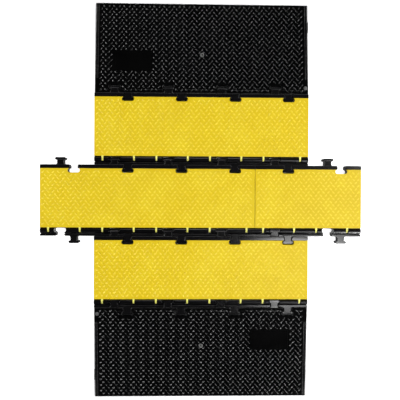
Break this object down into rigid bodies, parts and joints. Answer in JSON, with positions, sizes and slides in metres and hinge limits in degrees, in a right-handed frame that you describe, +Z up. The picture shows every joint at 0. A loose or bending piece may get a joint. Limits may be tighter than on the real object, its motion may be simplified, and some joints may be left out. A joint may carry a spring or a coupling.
{
  "type": "cable protector ramp",
  "caption": "Modular cable crossing: rows of channelled bases with hinged lids, locked by dovetail studs between two entry ramps.",
  "frame": {"origin": "on the floor under the middle of the crossing", "axes": "+X along the cables, +Y across them towards the far ramp, +Z up"},
  "size_m": [1.3708, 1.6952, 0.038],
  "materials": {
    "black_polyurethane": "moulded black polyurethane, satin to matte, scuffed",
    "yellow_polyurethane": "moulded yellow polyurethane, satin, with a raised tread",
    "pin_steel": "drawn steel rod",
    "bush_steel": "dull zinc-plated steel"
  },
  "bodies": {
    "crossing": {"far_base": "black_polyurethane", "centre_base": "black_polyurethane", "half_base": "black_polyurethane", "near_base": "black_polyurethane", "far_short_pin": "pin_steel", "far_long_pins": "pin_steel", "far_end_pin": "pin_steel", "centre_short_pin": "pin_steel", "centre_long_pins": "pin_steel", "centre_end_pin": "pin_steel", "half_short_pin": "pin_steel", "half_long_pins": "pin_steel", "half_end_pin": "pin_steel", "near_short_pin": "pin_steel", "near_long_pins": "pin_steel", "near_end_pin": "pin_steel", "far_ramp": "black_polyurethane", "near_ramp": "black_polyurethane", "far_anchor_bush": "bush_steel", "near_anchor_bush": "bush_steel"},
    "far_cover": {"far_lid": "yellow_polyurethane"},
    "centre_cover": {"centre_lid": "yellow_polyurethane"},
    "half_cover": {"half_lid": "yellow_polyurethane"},
    "near_cover": {"near_lid": "yellow_polyurethane"}
  },
  "joints": [
    {"name": "far_lid_hinge", "type": "hinge", "parent": "crossing", "child": "far_cover", "pos_m": [0, 0.1758, 0.027], "axis": [1, 0, 0], "range_deg": [0, 110]},
    {"name": "centre_lid_hinge", "type": "hinge", "parent": "crossing", "child": "centre_cover", "pos_m": [-0.2286, -0.129, 0.027], "axis": [1, 0, 0], "range_deg": [0, 110]},
    {"name": "half_lid_hinge", "type": "hinge", "parent": "crossing", "child": "half_cover", "pos_m": [0.4572, -0.129, 0.027], "axis": [1, 0, 0], "range_deg": [0, 110]},
    {"name": "near_lid_hinge", "type": "hinge", "parent": "crossing", "child": "near_cover", "pos_m": [0, -0.4338, 0.027], "axis": [1, 0, 0], "range_deg": [0, 110]}
  ]
}
